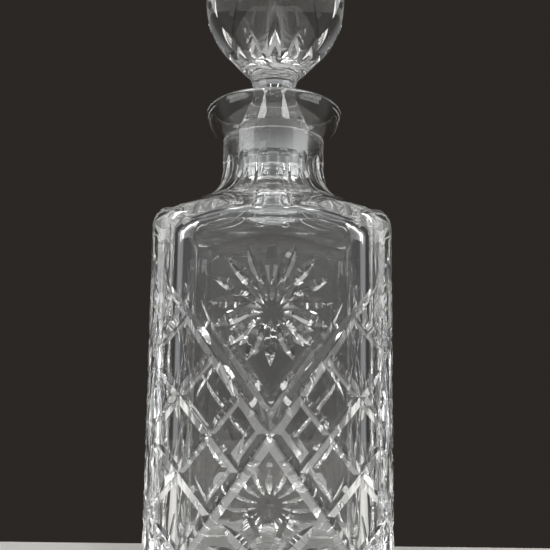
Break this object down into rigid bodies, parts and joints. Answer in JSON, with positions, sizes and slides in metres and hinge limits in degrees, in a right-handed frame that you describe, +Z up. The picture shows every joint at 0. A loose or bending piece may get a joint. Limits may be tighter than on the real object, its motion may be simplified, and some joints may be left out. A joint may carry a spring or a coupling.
{
  "type": "square cut crystal decanter",
  "caption": "Square cut crystal decanter with a fluted neck, a flared lip and a ball stopper whose ground peg lifts out of the mouth.",
  "frame": {"origin": "centre of the underside, on the table the decanter stands on", "axes": "+Z up through the stopper, -Y out of the front face, +X out of the right-hand face"},
  "size_m": [0.095, 0.095, 0.3002],
  "materials": {
    "crystal_bottle": "polished and cut, with a fine-ground bore",
    "crystal_stopper": "polished and cut, with a fine-ground peg"
  },
  "bodies": {
    "bottle": {"bottle": "crystal_bottle"},
    "stopper": {"stopper": "crystal_stopper"}
  },
  "joints": [
    {"name": "stopper_lift", "type": "slide", "parent": "bottle", "child": "stopper", "axis": [0, 0, 1], "range_m": [0, 0.06]}
  ]
}
